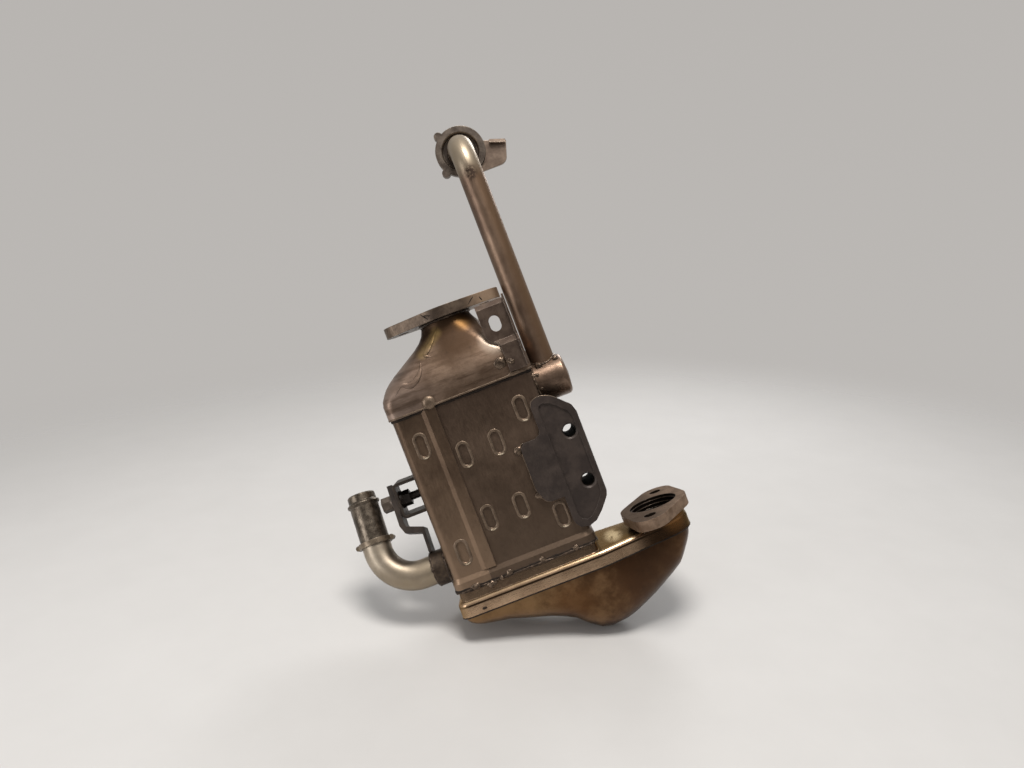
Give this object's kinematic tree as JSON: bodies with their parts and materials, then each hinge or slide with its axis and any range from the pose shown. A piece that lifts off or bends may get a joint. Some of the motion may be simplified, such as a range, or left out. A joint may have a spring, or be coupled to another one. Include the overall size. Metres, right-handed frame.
{
  "type": "exhaust gas recirculation cooler",
  "caption": "Welded stainless box cooler with a drawn gas hood and a bolted flange at each end, a coolant elbow on one side, a tall bent coolant pipe on the other and a dark front bracket.",
  "frame": {"origin": "centre of the gas outlet flange's gasket face", "axes": "+Z out of the gas outlet along the gas tubes, -Y towards the bracket side, +X towards the coolant pipe"},
  "size_m": [0.2462, 0.0878, 0.398],
  "materials": {
    "casing": "satin, brown-grey, scuffed",
    "hood": "satin with amber heat tint",
    "lower_hood": "golden bronze heat tint",
    "flange": "machined, slightly stained",
    "bracket": "dark grey, satin",
    "pipe": "satin with straw tint",
    "elbow": "bright satin with straw tint",
    "fitting": "satin grey",
    "strap": "grey, stained",
    "fastener": "black finish",
    "tube": "sooted",
    "seal": "matt"
  },
  "bodies": {
    "root": {"casing_left": "casing", "casing_right": "casing", "upper_hood": "hood", "outlet_flange": "flange", "hood_tab": "strap", "lower_tray": "lower_hood", "lower_shell": "lower_hood", "inlet_flange": "flange", "mounting_bracket": "bracket", "bracket_sleeves": "bracket", "coolant_cup": "pipe", "coolant_pipe": "pipe", "pipe_flange": "fitting", "pipe_tab": "fitting", "pipe_o_ring": "seal", "inlet_collar": "elbow", "elbow_pipe": "elbow", "hose_nipple": "fitting", "nipple_clip": "fitting", "u_bracket": "strap", "elbow_stay": "strap", "stay_bolt": "fastener", "stay_nut": "fastener", "upper_tube_plate": "tube", "lower_tube_plate": "tube", "gas_tubes": "tube", "tube_fins": "tube"}
  },
  "joints": []
}
